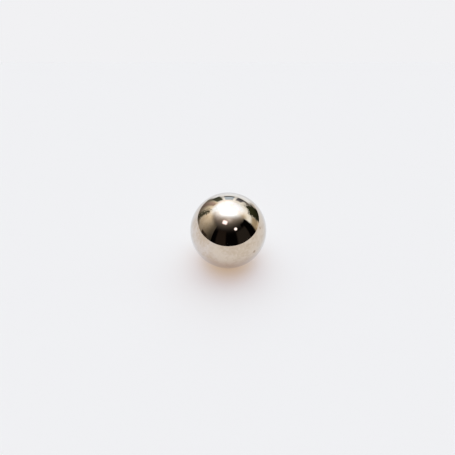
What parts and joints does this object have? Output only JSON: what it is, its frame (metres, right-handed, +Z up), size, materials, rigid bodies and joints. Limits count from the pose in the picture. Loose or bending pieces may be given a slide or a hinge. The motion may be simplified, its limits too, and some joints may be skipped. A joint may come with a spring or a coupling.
{
  "type": "steel ball",
  "caption": "Solid steel ball, a true sphere ground and lapped to a mirror finish and plated bright in a warm nickel tone, for a bearing, valve, catch, weight or bench use.",
  "frame": {"origin": "centre of the ball", "axes": "+Z up, away from the seat that holds the ball; every diameter of a sphere is alike, so X and Y mark no feature"},
  "size_m": [0.0254, 0.0254, 0.0254],
  "materials": {
    "bright_nickel_steel": "polished"
  },
  "bodies": {
    "root": {"ball": "bright_nickel_steel"}
  },
  "joints": []
}
